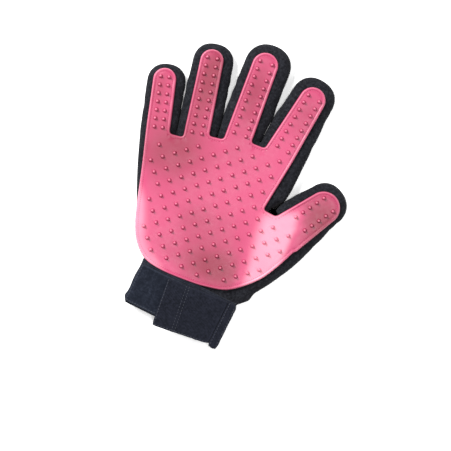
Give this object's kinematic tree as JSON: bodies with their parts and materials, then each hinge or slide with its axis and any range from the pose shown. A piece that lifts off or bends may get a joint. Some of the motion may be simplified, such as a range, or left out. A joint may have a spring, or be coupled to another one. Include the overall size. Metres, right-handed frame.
{
  "type": "grooming glove",
  "caption": "Five-finger pet grooming glove: a rubber palm face with flexible nubs on a hollow cloth glove, with a wrist band that closes with a hook-and-loop tab.",
  "frame": {"origin": "on the underside of the hand part, under the middle of the palm, at table height", "axes": "+Y to the middle fingertip, +X to the thumb, +Z out of the rubber face"},
  "size_m": [0.1781, 0.2374, 0.0176],
  "materials": {
    "pink_rubber": "satin moulded rubber",
    "palm_cloth": "black knitted cloth",
    "mesh_cloth": "black air-mesh cloth",
    "elastic_band": "woven elastic",
    "loop_pile": "loop pile",
    "hook_tape": "nylon hook tape",
    "tab_webbing": "woven nylon tape"
  },
  "bodies": {
    "hand": {"hand_back_panel": "mesh_cloth", "hand_front_panel": "palm_cloth", "outer_side_wall": "mesh_cloth", "little_ring_gusset": "mesh_cloth", "ring_middle_gusset": "mesh_cloth", "middle_index_gusset": "mesh_cloth", "index_thumb_gusset": "mesh_cloth", "thumb_side_wall": "mesh_cloth", "palm_pad": "pink_rubber", "wrist_band": "elastic_band", "loop_patch": "loop_pile", "tab_fold": "tab_webbing"},
    "little_base": {"little_base_back": "mesh_cloth", "little_base_front": "palm_cloth", "little_base_pad": "pink_rubber"},
    "little_tip": {"little_tip_back": "mesh_cloth", "little_tip_front": "palm_cloth", "little_tip_pad": "pink_rubber"},
    "ring_base": {"ring_base_back": "mesh_cloth", "ring_base_front": "palm_cloth", "ring_base_pad": "pink_rubber"},
    "ring_tip": {"ring_tip_back": "mesh_cloth", "ring_tip_front": "palm_cloth", "ring_tip_pad": "pink_rubber"},
    "middle_base": {"middle_base_back": "mesh_cloth", "middle_base_front": "palm_cloth", "middle_base_pad": "pink_rubber"},
    "middle_tip": {"middle_tip_back": "mesh_cloth", "middle_tip_front": "palm_cloth", "middle_tip_pad": "pink_rubber"},
    "index_base": {"index_base_back": "mesh_cloth", "index_base_front": "palm_cloth", "index_base_pad": "pink_rubber"},
    "index_tip": {"index_tip_back": "mesh_cloth", "index_tip_front": "palm_cloth", "index_tip_pad": "pink_rubber"},
    "thumb_base": {"thumb_base_back": "mesh_cloth", "thumb_base_front": "palm_cloth", "thumb_base_pad": "pink_rubber"},
    "thumb_tip": {"thumb_tip_back": "mesh_cloth", "thumb_tip_front": "palm_cloth", "thumb_tip_pad": "pink_rubber"},
    "tab": {"closure_tab": "tab_webbing", "hook_patch": "hook_tape"}
  },
  "joints": [
    {"name": "little_knuckle", "type": "hinge", "parent": "hand", "child": "little_base", "pos_m": [-0.07161, 0.04091, 0.0146], "axis": [0.9833, 0.1822, 0], "range_deg": [0, 65], "stiffness_Nm_per_rad": 0.03},
    {"name": "little_joint", "type": "hinge", "parent": "little_base", "child": "little_tip", "pos_m": [-0.07522, 0.06037, 0.0146], "axis": [0.9833, 0.1822, 0], "range_deg": [0, 65], "stiffness_Nm_per_rad": 0.03},
    {"name": "ring_knuckle", "type": "hinge", "parent": "hand", "child": "ring_base", "pos_m": [-0.04104, 0.04633, 0.0146], "axis": [0.9942, 0.108, 0], "range_deg": [0, 65], "stiffness_Nm_per_rad": 0.03},
    {"name": "ring_joint", "type": "hinge", "parent": "ring_base", "child": "ring_tip", "pos_m": [-0.04389, 0.07257, 0.0146], "axis": [0.9942, 0.108, 0], "range_deg": [0, 65], "stiffness_Nm_per_rad": 0.03},
    {"name": "middle_knuckle", "type": "hinge", "parent": "hand", "child": "middle_base", "pos_m": [-0.00732, 0.05459, 0.0146], "axis": [0.9993, -0.0384, 0], "range_deg": [0, 65], "stiffness_Nm_per_rad": 0.03},
    {"name": "middle_joint", "type": "hinge", "parent": "middle_base", "child": "middle_tip", "pos_m": [-0.00631, 0.08097, 0.0146], "axis": [0.9993, -0.0384, 0], "range_deg": [0, 65], "stiffness_Nm_per_rad": 0.03},
    {"name": "index_knuckle", "type": "hinge", "parent": "hand", "child": "index_base", "pos_m": [0.02836, 0.04832, 0.0146], "axis": [0.9724, -0.2334, 0], "range_deg": [0, 65], "stiffness_Nm_per_rad": 0.03},
    {"name": "index_joint", "type": "hinge", "parent": "index_base", "child": "index_tip", "pos_m": [0.03452, 0.07399, 0.0146], "axis": [0.9724, -0.2334, 0], "range_deg": [0, 65], "stiffness_Nm_per_rad": 0.03},
    {"name": "thumb_knuckle", "type": "hinge", "parent": "hand", "child": "thumb_base", "pos_m": [0.05536, -0.008, 0.0146], "axis": [0.788, -0.6157, 0], "range_deg": [0, 65], "stiffness_Nm_per_rad": 0.03},
    {"name": "thumb_joint", "type": "hinge", "parent": "thumb_base", "child": "thumb_tip", "pos_m": [0.06756, 0.0076, 0.0146], "axis": [0.788, -0.6157, 0], "range_deg": [0, 65], "stiffness_Nm_per_rad": 0.03},
    {"name": "tab_fold_hinge", "type": "hinge", "parent": "hand", "child": "tab", "pos_m": [0.02177, -0.09831, 0.0166], "axis": [0.1444, 0.9895, 0], "range_deg": [0, 160]}
  ]
}
